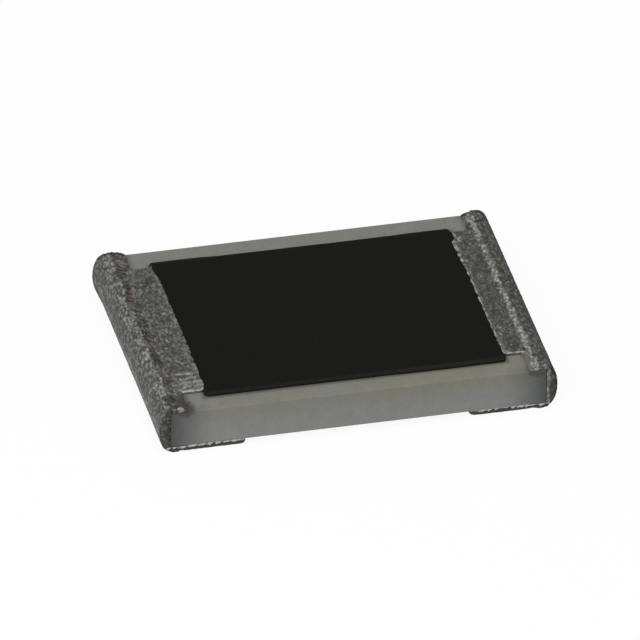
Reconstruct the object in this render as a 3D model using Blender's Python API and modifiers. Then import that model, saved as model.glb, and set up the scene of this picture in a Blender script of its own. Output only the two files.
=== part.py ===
"""Thick-film chip resistor, 4.5 x 3.2 mm, built up layer by layer as it is made.

Metres, +Z up, X along the chip. The origin is at the middle of the footprint, on the plane
that the two solder pads stand on. Each printed, dipped or plated layer is a solid of its
own, kept LAYER_GAP clear of the layers that it covers.
"""

import math

import bmesh
import bpy
from mathutils import Matrix

# Room between one layer and the next. The thinnest layer is only 8 micrometres.
LAYER_GAP = 2e-6

# Ceramic chip
CERAMIC_LENGTH = 4.25e-3
CERAMIC_WIDTH = 3.2e-3
CERAMIC_THICKNESS = 0.44e-3
CERAMIC_EDGE_BEVEL = 12e-6

# Printed top electrodes
TOP_ELECTRODE_THICKNESS = 10e-6
TOP_ELECTRODE_SIDE_MARGIN = 0.374e-3
ELECTRODE_END_MARGIN = 20e-6

# Printed resistive film
RESISTOR_THICKNESS = 10e-6
RESISTOR_OVERLAP = 0.2e-3
RESISTOR_SIDE_MARGIN = 0.18e-3
STEP_RUN = 45e-6

# Glass coat over the film
GLASS_THICKNESS = 8e-6
GLASS_MARGIN = 70e-6

# Laser cut through glass and film: in from the long edge, then along the chip
KERF_WIDTH = 50e-6
KERF_OFFSET = 0.45e-3
KERF_REACH = 0.85e-3
KERF_LEG = 0.8e-3

# Overcoat, printed a little off centre
OVERCOAT_COVER = 14e-6
OVERCOAT_END_COVER = 0.192e-3
OVERCOAT_SIDE_COVER = 0.107e-3
OVERCOAT_EDGE_THICKNESS = 6e-6
OVERCOAT_EDGE_RUN = 36e-6
OVERCOAT_CORNER_RADIUS = 14e-6
OVERCOAT_SHIFT_X = 24e-6
OVERCOAT_SHIFT_Y = -23e-6

# Printed bottom electrodes
BOTTOM_ELECTRODE_LENGTH = 0.818e-3
BOTTOM_ELECTRODE_THICKNESS = 40e-6
PAD_SIDE_MARGIN = 12e-6
PAD_CORNER_RADIUS = 40e-6

# Dipped silver ends
END_BULGE = 0.101e-3
BEAD_THICKNESS = 15e-6
BEAD_RUN = 0.113e-3
WRAP_MIDDLE = 0.18e-3
WRAP_CORNER_LEFT = 0.215e-3
WRAP_CORNER_RIGHT = 0.172e-3
LIP_THICKNESS = 10e-6
LIP_WRAP = 0.17e-3
LIP_RUN = 85e-6
END_CORNER_RADIUS = 12e-6
TONGUE_LENGTH = 0.18e-3

# Plated skins
NICKEL_THICKNESS = 8e-6
TIN_THICKNESS = 12e-6

# Shape of the dipped ends: how square the bulge is above and below, and how the bead runs out
UPPER_BULGE_POWER = 2.5
LOWER_BULGE_POWER = 2.3
BEAD_POWER = 1.5
WRAP_POWER = 2

# A printed film's edge falls away by this share of its thickness
EDGE_FALL = 0.5

# How finely the curves are divided
ARC_STEPS = 4
BEAD_STEPS = 4
BULGE_STEPS = 7
SPAN_STEPS = 8

# How far a cutter runs past what it cuts
OVERRUN = 0.1e-3

# Heights, from the plane that the part stands on
NICKEL_INSIDE = LAYER_GAP
NICKEL_OUTSIDE = NICKEL_INSIDE + NICKEL_THICKNESS
TIN_INSIDE = NICKEL_OUTSIDE + LAYER_GAP
TIN_OUTSIDE = TIN_INSIDE + TIN_THICKNESS
PAD_DEPTH = LAYER_GAP + BOTTOM_ELECTRODE_THICKNESS
LIP_DEPTH = PAD_DEPTH + LAYER_GAP + LIP_THICKNESS
CERAMIC_BOTTOM = LIP_DEPTH + TIN_OUTSIDE
CERAMIC_TOP = CERAMIC_BOTTOM + CERAMIC_THICKNESS
FILM_FLOOR = CERAMIC_TOP + LAYER_GAP
ELECTRODE_FACE = FILM_FLOOR + TOP_ELECTRODE_THICKNESS
RESISTOR_LOW_FACE = FILM_FLOOR + RESISTOR_THICKNESS
RESISTOR_HIGH_FACE = ELECTRODE_FACE + LAYER_GAP + RESISTOR_THICKNESS
GLASS_LOW_FACE = RESISTOR_LOW_FACE + LAYER_GAP + GLASS_THICKNESS
GLASS_HIGH_FACE = RESISTOR_HIGH_FACE + LAYER_GAP + GLASS_THICKNESS
OVERCOAT_FACE = GLASS_HIGH_FACE + LAYER_GAP + OVERCOAT_COVER
OVERCOAT_EDGE = ELECTRODE_FACE + LAYER_GAP + OVERCOAT_EDGE_THICKNESS
BEAD_FACE = ELECTRODE_FACE + LAYER_GAP + BEAD_THICKNESS

# Half lengths, worked out from the ceramic's ends inwards
CERAMIC_END = CERAMIC_LENGTH / 2
OVERCOAT_END = CERAMIC_END - WRAP_CORNER_LEFT - TIN_OUTSIDE - TONGUE_LENGTH
GLASS_END = OVERCOAT_END - OVERCOAT_END_COVER
RESISTOR_END = GLASS_END - GLASS_MARGIN
ELECTRODE_INNER_END = RESISTOR_END - RESISTOR_OVERLAP
ELECTRODE_OUTER_END = CERAMIC_END - ELECTRODE_END_MARGIN
PAD_INNER_END = ELECTRODE_OUTER_END - BOTTOM_ELECTRODE_LENGTH
STEP_END = ELECTRODE_INNER_END - RESISTOR_THICKNESS

# Half widths. The plated ends finish flush with the ceramic's long sides.
CERAMIC_SIDE = CERAMIC_WIDTH / 2
END_SIDE = CERAMIC_SIDE - TIN_OUTSIDE
PAD_SIDE = END_SIDE - PAD_SIDE_MARGIN
ELECTRODE_SIDE = CERAMIC_SIDE - TOP_ELECTRODE_SIDE_MARGIN
RESISTOR_SIDE = ELECTRODE_SIDE - RESISTOR_SIDE_MARGIN
GLASS_SIDE = RESISTOR_SIDE + GLASS_MARGIN
OVERCOAT_SIDE = ELECTRODE_SIDE + OVERCOAT_SIDE_COVER

SIDES = (("left", -1), ("right", 1))


def clear_scene():
    for item in list(bpy.data.objects):
        bpy.data.objects.remove(item)


def make_collection(name):
    group = bpy.data.collections.new(name)
    bpy.context.scene.collection.children.link(group)
    return group


def make_material(name, colour, roughness, metallic=0.0):
    material = bpy.data.materials.new(name)
    material.use_nodes = True
    material.diffuse_color = (*colour, 1.0)
    shader = material.node_tree.nodes["Principled BSDF"]
    shader.inputs["Base Color"].default_value = (*colour, 1.0)
    shader.inputs["Roughness"].default_value = roughness
    shader.inputs["Metallic"].default_value = metallic
    return material


def make_object(name, bm, group):
    """Turn a bmesh into an object of the group."""
    mesh = bpy.data.meshes.new(name)
    bm.to_mesh(mesh)
    bm.free()
    item = bpy.data.objects.new(name, mesh)
    group.objects.link(item)
    return item


def as_part(item, material):
    item.data.materials.append(material)
    return item


def as_cutter(item):
    item.hide_render = True
    item.display_type = "WIRE"
    return item


def boolean(item, operation, *tools):
    """Join or cut with all the tool objects at once, gathered in a collection of their own."""
    group = bpy.data.collections.new(f"{operation.lower()} {item.name}")
    for tool in tools:
        group.objects.link(tool)
    modifier = item.modifiers.new(group.name, "BOOLEAN")
    modifier.operation = operation
    modifier.operand_type = "COLLECTION"
    modifier.collection = group
    modifier.solver = "EXACT"


def block_mesh(x_span, y_span, z_span):
    """A box between two values along each axis."""
    bm = bmesh.new()
    bmesh.ops.create_cube(bm, size=1.0)
    sizes = [high - low for low, high in (x_span, y_span, z_span)]
    middles = [(low + high) / 2 for low, high in (x_span, y_span, z_span)]
    bmesh.ops.transform(
        bm, matrix=Matrix.Translation(middles) @ Matrix.Diagonal((*sizes, 1.0)), verts=bm.verts
    )
    return bm


def round_upright_edges(bm, radius):
    """Round the box's four corners as seen from above."""
    upright = [edge for edge in bm.edges if edge.verts[0].co.xy == edge.verts[1].co.xy]
    bmesh.ops.bevel(
        bm, geom=upright, offset=radius, segments=ARC_STEPS, profile=0.5, affect="EDGES", material=-1
    )


def outline_object(name, points, half_depth, matrix, group):
    """A flat outline given a thickness, placed by a matrix, as a welded mesh."""
    curve = bpy.data.curves.new(name, "CURVE")
    curve.dimensions = "2D"
    curve.fill_mode = "BOTH"
    curve.extrude = half_depth
    spline = curve.splines.new("POLY")
    spline.points.add(len(points) - 1)
    for point, (u, v) in zip(spline.points, points):
        point.co = (u, v, 0.0, 1.0)
    spline.use_cyclic_u = True
    drawn = bpy.data.objects.new(name, curve)
    bpy.context.scene.collection.objects.link(drawn)
    drawn.matrix_world = matrix
    bpy.context.view_layer.update()
    depsgraph = bpy.context.evaluated_depsgraph_get()
    mesh = bpy.data.meshes.new_from_object(drawn.evaluated_get(depsgraph))
    bm = bmesh.new()
    bm.from_mesh(mesh)
    bmesh.ops.remove_doubles(bm, verts=bm.verts, dist=1e-8)
    bmesh.ops.recalc_face_normals(bm, faces=bm.faces)
    bpy.data.objects.remove(drawn)
    bpy.data.meshes.remove(mesh)
    item = make_object(name, bm, group)
    item.matrix_world = matrix
    return item


def side_view(points, half_width, name, group):
    """An outline in X and Z, as thick as the full width along Y."""
    upright = Matrix.Rotation(math.radians(90), 4, "X")
    return outline_object(name, points, half_width, upright, group)


def film_profile(half_length, grow, low_face, high_face, thickness):
    """A film seen from its long side: flat, then up over the electrodes' inner ends.

    The film rises along a smooth S and its two ends fall away along a quarter of an ellipse.
    """
    half = half_length + grow
    fall = thickness * EDGE_FALL
    right = [(half, FILM_FLOOR - grow)]
    for step in range(ARC_STEPS + 1):
        angle = math.radians(90) * step / ARC_STEPS
        inset = STEP_RUN * (1 - math.cos(angle))
        right.append((half - inset, high_face + grow - fall * (1 - math.sin(angle))))
    for step in range(2 * ARC_STEPS + 1):
        share = step / (2 * ARC_STEPS)
        smooth = share * share * (3 - 2 * share)
        right.append((STEP_END - STEP_RUN * share, high_face + grow - (high_face - low_face) * smooth))
    return right + [(-x, z) for x, z in reversed(right)]


def resistor_form(name, grow, group):
    points = film_profile(RESISTOR_END, grow, RESISTOR_LOW_FACE, RESISTOR_HIGH_FACE, RESISTOR_THICKNESS)
    return side_view(points, RESISTOR_SIDE + grow, name, group)


def glass_form(name, grow, group):
    points = film_profile(GLASS_END, grow, GLASS_LOW_FACE, GLASS_HIGH_FACE, GLASS_THICKNESS)
    return side_view(points, GLASS_SIDE + grow, name, group)


def arc(centre, radius, start, end):
    """Points along an arc, angles in degrees."""
    points = []
    for step in range(2 * ARC_STEPS + 1):
        angle = math.radians(start + (end - start) * step / (2 * ARC_STEPS))
        points.append((centre[0] + radius * math.cos(angle), centre[1] + radius * math.sin(angle)))
    return points


def kerf_form(name, width, group):
    """The laser's L-shaped path, seen from above, with the round ends of its spot."""
    radius = width / 2
    corner = (KERF_OFFSET, -RESISTOR_SIDE + KERF_REACH)
    tip = (KERF_OFFSET - KERF_LEG, corner[1])
    entry = -GLASS_SIDE - OVERRUN
    points = [(KERF_OFFSET - radius, entry), (KERF_OFFSET + radius, entry)]
    points += arc(corner, radius, 0, 90)
    points += arc(tip, radius, 90, 270)
    points += [(KERF_OFFSET - radius, corner[1] - radius)]
    floor = CERAMIC_TOP - LAYER_GAP
    half_depth = (OVERCOAT_FACE - floor) / 2
    middle = Matrix.Translation((0.0, 0.0, floor + half_depth))
    return outline_object(name, points, half_depth, middle, group)


def electrode_mesh(side, grow, inner_end, outer_end):
    """A printed top electrode, or the space that it needs when grown."""
    x_span = sorted((side * (inner_end - grow), side * (outer_end + grow)))
    y_span = (-ELECTRODE_SIDE - grow, ELECTRODE_SIDE + grow)
    return block_mesh(x_span, y_span, (FILM_FLOOR - grow, ELECTRODE_FACE + grow))


def pad_mesh(side, grow, roof):
    """A printed bottom electrode grown by one amount all round, up to a given height."""
    x_span = sorted((side * (PAD_INNER_END - grow), side * (ELECTRODE_OUTER_END + grow)))
    y_span = (-PAD_SIDE - grow, PAD_SIDE + grow)
    bm = block_mesh(x_span, y_span, (CERAMIC_BOTTOM - PAD_DEPTH - grow, roof))
    round_upright_edges(bm, PAD_CORNER_RADIUS + grow)
    return bm


def end_section(side, y, wrap, grow):
    """The dipped end cut across at y: bead on top, bulge, lip below, closed through the ceramic."""
    end = CERAMIC_END
    foot = end - wrap - grow
    crest = end - wrap + BEAD_RUN
    top = BEAD_FACE + grow
    points = []
    for step in range(BEAD_STEPS):
        share = step / BEAD_STEPS
        drop = (top - CERAMIC_TOP) * (1 - share) ** BEAD_POWER
        points.append((foot + (crest - foot) * share, top - drop))
    middle = (CERAMIC_TOP + CERAMIC_BOTTOM) / 2
    reach = end + END_BULGE + grow
    low = CERAMIC_BOTTOM - LIP_DEPTH - grow
    lip_foot = end - LIP_WRAP - grow
    lip_crest = end - LIP_WRAP + LIP_RUN
    for step in range(BULGE_STEPS):
        angle = math.radians(90) * (1 - step / BULGE_STEPS)
        points.append(bulge_point(crest, middle, reach - crest, top - middle, angle, UPPER_BULGE_POWER))
    for step in range(BULGE_STEPS + 1):
        angle = math.radians(90) * step / BULGE_STEPS
        x, z = bulge_point(lip_crest, middle, reach - lip_crest, middle - low, angle, LOWER_BULGE_POWER)
        points.append((x, 2 * middle - z))
    for step in range(1, BEAD_STEPS + 1):
        share = 1 - step / BEAD_STEPS
        rise = (CERAMIC_BOTTOM - low) * (1 - share) ** BEAD_POWER
        points.append((lip_foot + (lip_crest - lip_foot) * share, low + rise))
    return [(side * x, y, z) for x, z in points]


def bulge_point(x, z, reach, height, angle, power):
    """A point on a quarter of a rounded rectangle's outline. A higher power is squarer."""
    return (
        x + reach * max(math.cos(angle), 0.0) ** (2 / power),
        z + height * max(math.sin(angle), 0.0) ** (2 / power),
    )


def end_mesh(side, grow):
    """The whole outer form of a dipped end, lofted across the chip and rounded at both sides."""
    half = END_SIDE + grow
    radius = END_CORNER_RADIUS
    wrap_corner = WRAP_CORNER_LEFT if side < 0 else WRAP_CORNER_RIGHT
    stations = []
    for step in range(ARC_STEPS + 1):
        angle = math.radians(90) * step / ARC_STEPS
        stations.append((half - radius + radius * math.cos(angle), radius * (1 - math.sin(angle))))
    flat = half - radius
    for step in range(1, SPAN_STEPS):
        stations.append((flat - 2 * flat * step / SPAN_STEPS, 0.0))
    stations += [(-y, inset) for y, inset in reversed(stations[: ARC_STEPS + 1])]
    bm = bmesh.new()
    rings = []
    for y, inset in stations:
        share = min(abs(y) / END_SIDE, 1.0) ** WRAP_POWER
        wrap = WRAP_MIDDLE + (wrap_corner - WRAP_MIDDLE) * share
        rings.append([bm.verts.new(point) for point in end_section(side, y, wrap, grow - inset)])
    count = len(rings[0])
    for near, far in zip(rings, rings[1:]):
        for k in range(count):
            bm.faces.new((near[k], near[(k + 1) % count], far[(k + 1) % count], far[k]))
    bm.faces.new(rings[0])
    bm.faces.new(rings[-1])
    bmesh.ops.recalc_face_normals(bm, faces=bm.faces)
    return bm


def shade(item):
    """Smooth shading that keeps the corners sharp."""
    item.data.shade_smooth()
    item.data.set_sharp_from_angle(angle=math.radians(30))


def add_ceramic(parts, material):
    ends = (-CERAMIC_END, CERAMIC_END)
    sides = (-CERAMIC_SIDE, CERAMIC_SIDE)
    bm = block_mesh(ends, sides, (CERAMIC_BOTTOM, CERAMIC_TOP))
    chip = as_part(make_object("ceramic_substrate", bm, parts), material)
    bevel = chip.modifiers.new("broken edges", "BEVEL")
    bevel.width = CERAMIC_EDGE_BEVEL
    bevel.segments = 2


def ceramic_room(cutters):
    """The ceramic and the gap around it, run out past both long sides."""
    ends = (-CERAMIC_END - LAYER_GAP, CERAMIC_END + LAYER_GAP)
    sides = (-CERAMIC_SIDE - OVERRUN, CERAMIC_SIDE + OVERRUN)
    bm = block_mesh(ends, sides, (CERAMIC_BOTTOM - LAYER_GAP, CERAMIC_TOP + LAYER_GAP))
    return as_cutter(make_object("room ceramic", bm, cutters))


def add_films(parts, cutters, silver, ink, glass, black):
    """Top electrodes, resistive film, glass and overcoat, each hollowed for what it covers."""
    rooms = []
    for word, side in SIDES:
        bm = electrode_mesh(side, 0.0, ELECTRODE_INNER_END, ELECTRODE_OUTER_END)
        as_part(make_object(f"top_electrode_{word}", bm, parts), silver)
        bm = electrode_mesh(side, LAYER_GAP, ELECTRODE_INNER_END, CERAMIC_END)
        rooms.append(as_cutter(make_object(f"room top electrode {word}", bm, cutters)))
    kerf = as_cutter(kerf_form("laser cut", KERF_WIDTH, cutters))
    resistor_room = as_cutter(resistor_form("room resistor", LAYER_GAP, cutters))
    glass_room = as_cutter(glass_form("room glass", LAYER_GAP, cutters))
    rib = as_cutter(kerf_form("overcoat in the laser cut", KERF_WIDTH - 2 * LAYER_GAP, cutters))
    boolean(glass_room, "DIFFERENCE", rib)

    resistor = as_part(resistor_form("resistive_element", 0.0, parts), ink)
    boolean(resistor, "DIFFERENCE", *rooms, kerf)
    coat = as_part(glass_form("glass_coat", 0.0, parts), glass)
    boolean(coat, "DIFFERENCE", resistor_room, *rooms, kerf)

    cover = as_part(make_object("overcoat", overcoat_mesh(), parts), black)
    boolean(cover, "DIFFERENCE", *rooms, glass_room)
    shade(cover)


def overcoat_mesh():
    """A flat print with rounded corners whose edge falls away all round."""
    x_span = (OVERCOAT_SHIFT_X - OVERCOAT_END, OVERCOAT_SHIFT_X + OVERCOAT_END)
    y_span = (OVERCOAT_SHIFT_Y - OVERCOAT_SIDE, OVERCOAT_SHIFT_Y + OVERCOAT_SIDE)
    bm = block_mesh(x_span, y_span, (FILM_FLOOR, OVERCOAT_EDGE))
    round_upright_edges(bm, OVERCOAT_EDGE_RUN + OVERCOAT_CORNER_RADIUS)
    bm.normal_update()
    roof = [face for face in bm.faces if face.normal.z > 0.5]
    inset_done = 0.0
    rise_done = 0.0
    for step in range(1, ARC_STEPS + 1):
        angle = math.radians(90) * step / ARC_STEPS
        inset = OVERCOAT_EDGE_RUN * (1 - math.cos(angle))
        rise = (OVERCOAT_FACE - OVERCOAT_EDGE) * math.sin(angle)
        bmesh.ops.inset_region(
            bm, faces=roof, thickness=inset - inset_done, depth=0.0, use_even_offset=True
        )
        corners = {corner for face in roof for corner in face.verts}
        bmesh.ops.translate(bm, verts=list(corners), vec=(0.0, 0.0, rise - rise_done))
        inset_done = inset
        rise_done = rise
    return bm


def add_end(word, side, parts, cutters, ceramic, silver, dip, nickel, tin):
    """One end of the chip: bottom electrode, dipped silver, nickel skin and tin skin."""
    bm = pad_mesh(side, 0.0, CERAMIC_BOTTOM - LAYER_GAP)
    as_part(make_object(f"bottom_electrode_{word}", bm, parts), silver)

    # The room that the skin, or the dipped silver, leaves for what lies under it
    def room(title, bm):
        return as_cutter(make_object(f"{title} {word}", bm, cutters))

    inside = CERAMIC_BOTTOM + LAYER_GAP
    under_paste = (
        room("paste over electrode", electrode_mesh(side, LAYER_GAP, 0.0, ELECTRODE_OUTER_END)),
        room("paste over pad", pad_mesh(side, LAYER_GAP, inside)),
    )
    paste = as_part(make_object(f"side_electrode_{word}", end_mesh(side, 0.0), parts), dip)
    boolean(paste, "DIFFERENCE", ceramic, *under_paste)
    shade(paste)

    # Both skins stop where the overcoat's edge begins
    stop = OVERCOAT_END + side * OVERCOAT_SHIFT_X + LAYER_GAP
    skins = (
        ("nickel_barrier", NICKEL_INSIDE, NICKEL_OUTSIDE, nickel),
        ("tin_plating", TIN_INSIDE, TIN_OUTSIDE, tin),
    )
    for name, low, high, material in skins:
        skin = as_part(make_object(f"{name}_{word}", end_mesh(side, high), parts), material)
        tongue = electrode_mesh(side, high, stop + high, ELECTRODE_OUTER_END)
        added = (
            room(f"{name} on electrode", tongue),
            room(f"{name} on pad", pad_mesh(side, high, inside + high)),
        )
        removed = (
            room(f"{name} over paste", end_mesh(side, low)),
            room(f"{name} over electrode", electrode_mesh(side, low, 0.0, ELECTRODE_OUTER_END)),
            room(f"{name} over pad", pad_mesh(side, low, inside + low)),
        )
        boolean(skin, "UNION", *added)
        boolean(skin, "DIFFERENCE", ceramic, *removed)
        shade(skin)


def main():
    clear_scene()
    parts = make_collection("smd_chip_resistor")
    cutters = make_collection("cutters")
    alumina = make_material("alumina", (0.21, 0.21, 0.195), 0.6)
    silver = make_material("silver_print", (0.55, 0.54, 0.52), 0.45, 1.0)
    dip = make_material("silver_dip", (0.48, 0.47, 0.45), 0.55, 1.0)
    ink = make_material("resistive_ink", (0.03, 0.032, 0.035), 0.5)
    glass = make_material("glass_print", (0.08, 0.14, 0.1), 0.2)
    black = make_material("overcoat_black", (0.012, 0.012, 0.011), 0.7)
    nickel = make_material("nickel", (0.42, 0.4, 0.36), 0.4, 1.0)
    tin = make_material("tin", (0.32, 0.32, 0.31), 0.5, 1.0)
    add_ceramic(parts, alumina)
    ceramic = ceramic_room(cutters)
    add_films(parts, cutters, silver, ink, glass, black)
    for word, side in SIDES:
        add_end(word, side, parts, cutters, ceramic, silver, dip, nickel, tin)


main()
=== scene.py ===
# %% [markdown]
# A chip resistor, seen under a lens
#
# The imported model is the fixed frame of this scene. It holds the fourteen printed, dipped
# and plated layers of a 4.5 x 3.2 mm chip resistor at their real size. What shows of them
# is the ceramic, the black overcoat and the tin on both ends. This file gives every layer its
# finish and models the tin and the overcoat again with the grain and the wavy edges that
# paste and plating have.

# %% Load the frame
import math

import bmesh
import bpy
from mathutils import Matrix, Vector, noise


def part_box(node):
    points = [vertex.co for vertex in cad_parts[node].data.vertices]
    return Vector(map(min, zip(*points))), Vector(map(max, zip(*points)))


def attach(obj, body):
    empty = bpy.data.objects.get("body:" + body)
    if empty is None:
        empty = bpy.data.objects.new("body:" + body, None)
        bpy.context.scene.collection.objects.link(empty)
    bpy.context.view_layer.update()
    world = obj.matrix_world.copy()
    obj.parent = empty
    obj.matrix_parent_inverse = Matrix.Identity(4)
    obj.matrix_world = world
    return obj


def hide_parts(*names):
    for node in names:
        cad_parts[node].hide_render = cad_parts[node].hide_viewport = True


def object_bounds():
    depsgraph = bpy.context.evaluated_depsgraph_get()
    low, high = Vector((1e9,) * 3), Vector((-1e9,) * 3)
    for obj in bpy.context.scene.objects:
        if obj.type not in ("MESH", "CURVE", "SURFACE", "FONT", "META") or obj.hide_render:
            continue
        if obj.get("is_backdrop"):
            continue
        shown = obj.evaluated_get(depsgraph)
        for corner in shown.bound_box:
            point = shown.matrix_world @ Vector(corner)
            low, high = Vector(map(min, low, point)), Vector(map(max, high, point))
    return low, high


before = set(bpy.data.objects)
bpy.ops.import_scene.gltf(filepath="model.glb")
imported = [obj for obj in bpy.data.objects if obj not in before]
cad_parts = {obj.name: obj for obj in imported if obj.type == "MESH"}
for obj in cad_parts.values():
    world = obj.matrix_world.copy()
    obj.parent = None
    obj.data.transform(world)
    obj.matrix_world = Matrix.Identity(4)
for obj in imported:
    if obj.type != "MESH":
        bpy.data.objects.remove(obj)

cad_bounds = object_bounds()
print("layers:", ", ".join(sorted(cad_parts)))

# %% [markdown]
# Millimetres
#
# The chip is so small that Blender's voxels and merge distances, which suit rooms and chairs,
# are coarser than its layers. Everything here is therefore modelled in millimetres, and a
# finished mesh is scaled to metres once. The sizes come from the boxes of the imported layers.

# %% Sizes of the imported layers, in millimetres
MM = 0.001


def box_mm(node):
    """The low and the high corner of a packed layer's box."""
    low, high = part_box(node)
    return low / MM, high / MM


ceramic_low, ceramic_high = box_mm("ceramic_substrate")
silver_low, silver_high = box_mm("side_electrode_right")
tin_low, tin_high = box_mm("tin_plating_right")
pad_low, pad_high = box_mm("bottom_electrode_right")
cover_low, cover_high = box_mm("overcoat")
nickel_high = box_mm("nickel_barrier_right")[1]
contact_high = box_mm("top_electrode_right")[1]

CHIP_END = ceramic_high.x
CHIP_SIDE = ceramic_high.y
CHIP_TOP = ceramic_high.z
CHIP_BOTTOM = ceramic_low.z
print(f"ceramic {2 * CHIP_END:.3f} x {2 * CHIP_SIDE:.3f} x {CHIP_TOP - CHIP_BOTTOM:.3f} mm")
print(f"tin stands {tin_high.x - silver_high.x:.3f} mm outside the dipped silver")

# %% [markdown]
# The camera
#
# The chip is looked at from above and a little from the left of its long front side, through
# a long lens, so that its edges run almost parallel. A constraint could aim the camera, but
# wouldn't roll it. So it is turned by its view angles and pushed sideways, by pixels of the
# picture, until the chip sits in the frame where it should.

# %% Camera
AZIMUTH = math.radians(-14.228)
ELEVATION = math.radians(33.543)
ROLL = math.radians(-1.224)
CAMERA_DISTANCE = 0.3
SENSOR_WIDTH = 36
FRAME_PIXELS = 640
PIXELS_PER_METRE = 90577
CHIP_RIGHT_OF_CENTRE = 4.5
CHIP_BELOW_CENTRE = 26.3


def towards(azimuth, elevation):
    """The direction from the chip to something at these angles, from the front and upwards."""
    flat = math.cos(elevation)
    return Vector((math.sin(azimuth) * flat, -math.cos(azimuth) * flat, math.sin(elevation)))


lens = bpy.data.cameras.new("camera")
lens.sensor_width = SENSOR_WIDTH
lens.lens = SENSOR_WIDTH * CAMERA_DISTANCE * PIXELS_PER_METRE / FRAME_PIXELS
lens.clip_start = 0.01
camera = bpy.data.objects.new("camera", lens)
bpy.context.scene.collection.objects.link(camera)

back = towards(AZIMUTH, ELEVATION)
level_right = Vector((math.cos(AZIMUTH), math.sin(AZIMUTH), 0))
level_up = back.cross(level_right)
right = level_right * math.cos(ROLL) - level_up * math.sin(ROLL)
up = level_right * math.sin(ROLL) + level_up * math.cos(ROLL)
turn = Matrix((right, up, back)).transposed().to_4x4()
chip_foot = Vector((0, 0, CHIP_BOTTOM * MM))
sideways = (up * CHIP_BELOW_CENTRE - right * CHIP_RIGHT_OF_CENTRE) / PIXELS_PER_METRE
camera.matrix_world = Matrix.Translation(chip_foot + back * CAMERA_DISTANCE + sideways) @ turn
bpy.context.scene.camera = camera
print(f"lens {lens.lens:.0f} mm at {CAMERA_DISTANCE} m")

# %% [markdown]
# White all round
#
# A small part is photographed in a white tent: light comes from all round, a little more from
# the upper left. A stronger world would look white, but bleach the chip. So the world and the
# floor ask each ray what it is. They look white to the camera and in reflections, while the
# light that they throw is at a level where a grey renders about as grey as it is written. Two
# helpers, which every finish uses too, add a node and fill its sockets in one call.

# %% Helpers for nodes
def fill_sockets(tree, node, sockets):
    """Link each named socket to another node's output, or write its plain value."""
    for name, value in sockets.items():
        if isinstance(value, bpy.types.NodeSocket):
            tree.links.new(value, node.inputs[name])
        else:
            node.inputs[name].default_value = value


def add_node(tree, kind, sockets, output=0, operation=None, soft=False):
    """One output of a new node with its sockets filled. A soft Map Range starts and ends gently."""
    node = tree.nodes.new("ShaderNode" + kind)
    if operation:
        node.operation = operation
    if soft:
        node.interpolation_type = "SMOOTHSTEP"
    fill_sockets(tree, node, sockets)
    return node.outputs[output]


def add_math(tree, operation, first, second=0.0):
    """The output of a Math node on two values."""
    return add_node(tree, "Math", {0: first, 1: second}, operation=operation)


print("nodes are added with their sockets filled")

# %% World
SKY_LEVEL = 0.5
WHITE = (1, 1, 1, 1)

scene = bpy.context.scene
scene.view_settings.view_transform = "Standard"


def seen_directly(tree):
    """1 for camera, mirror and glass rays, 0 for the rays that carry light."""
    rays = tree.nodes.new("ShaderNodeLightPath").outputs
    glossy = add_math(tree, "MAXIMUM", rays["Is Camera Ray"], rays["Is Glossy Ray"])
    return add_math(tree, "MAXIMUM", glossy, rays["Is Transmission Ray"])


world = bpy.data.worlds.new("white tent")
scene.world = world
world.use_nodes = True
tree = world.node_tree
level = add_node(tree, "MapRange", {"Value": seen_directly(tree), "To Min": SKY_LEVEL, "To Max": 1.0})
fill_sockets(tree, tree.nodes["Background"], {"Color": WHITE, "Strength": level})
print("world:", world.name, "with light at", SKY_LEVEL)

# %% Floor
SHADOW_SHARE = 0.08
PAPER_WHITE = 0.95
FLOOR_SIZE = 0.6

paper = bpy.data.materials.new("white paper")
paper.use_nodes = True
tree = paper.node_tree
tree.nodes.remove(tree.nodes["Principled BSDF"])
matt = add_node(tree, "BsdfDiffuse", {"Color": (PAPER_WHITE, PAPER_WHITE, PAPER_WHITE, 1)})
glow = add_node(tree, "Emission", {"Color": WHITE})
share = add_node(tree, "MapRange", {"Value": seen_directly(tree), "To Max": 1.0 - SHADOW_SHARE})
mix = add_node(tree, "MixShader", {"Fac": share, 1: matt, 2: glow})
fill_sockets(tree, tree.nodes["Material Output"], {"Surface": mix})

bm = bmesh.new()
bmesh.ops.create_grid(bm, x_segments=1, y_segments=1, size=FLOOR_SIZE / 2)
sheet = bpy.data.meshes.new("floor")
bm.to_mesh(sheet)
bm.free()
sheet.materials.append(paper)
floor = bpy.data.objects.new("floor", sheet)
scene.collection.objects.link(floor)
floor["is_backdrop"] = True
print(f"floor {FLOOR_SIZE} m wide")

# %% [markdown]
# Two soft boxes
#
# A sun lamp would draw hard shadows in every dent of the tin. Two square area lamps, each
# about seven chips wide, give soft ones: the key stands at the upper left, the other on top.

# %% Lamps
KEY_POWER = 0.0113
TOP_POWER = 0.0064
SOFT_BOX_SIZE = 0.03
SOFT_BOX_DISTANCE = 0.05


def add_lamp(name, azimuth, elevation, power):
    """A square soft box that faces the chip, at angles in degrees."""
    light = bpy.data.lights.new(name, "AREA")
    light.size = SOFT_BOX_SIZE
    light.energy = power
    lamp = bpy.data.objects.new(name, light)
    scene.collection.objects.link(lamp)
    place = towards(math.radians(azimuth), math.radians(elevation))
    lamp.location = place * SOFT_BOX_DISTANCE
    lamp.rotation_euler = place.to_track_quat("Z", "Y").to_euler()
    print(f"{name}: {power} W")


add_lamp("key soft box", -42, 36, KEY_POWER)
add_lamp("top soft box", 20, 80, TOP_POWER)

# %% [markdown]
# Helpers for meshes
#
# Every new piece is finished the same way, so helpers do it instead of repeated lines. Its
# faces are turned outwards, its mesh is scaled to metres, its edges stay crisp only where they
# are sharper than 50 degrees, and it rides on the chip in place of the layer it stands for.

# %% Helpers for meshes
SHARP_ANGLE = math.radians(50)


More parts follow.
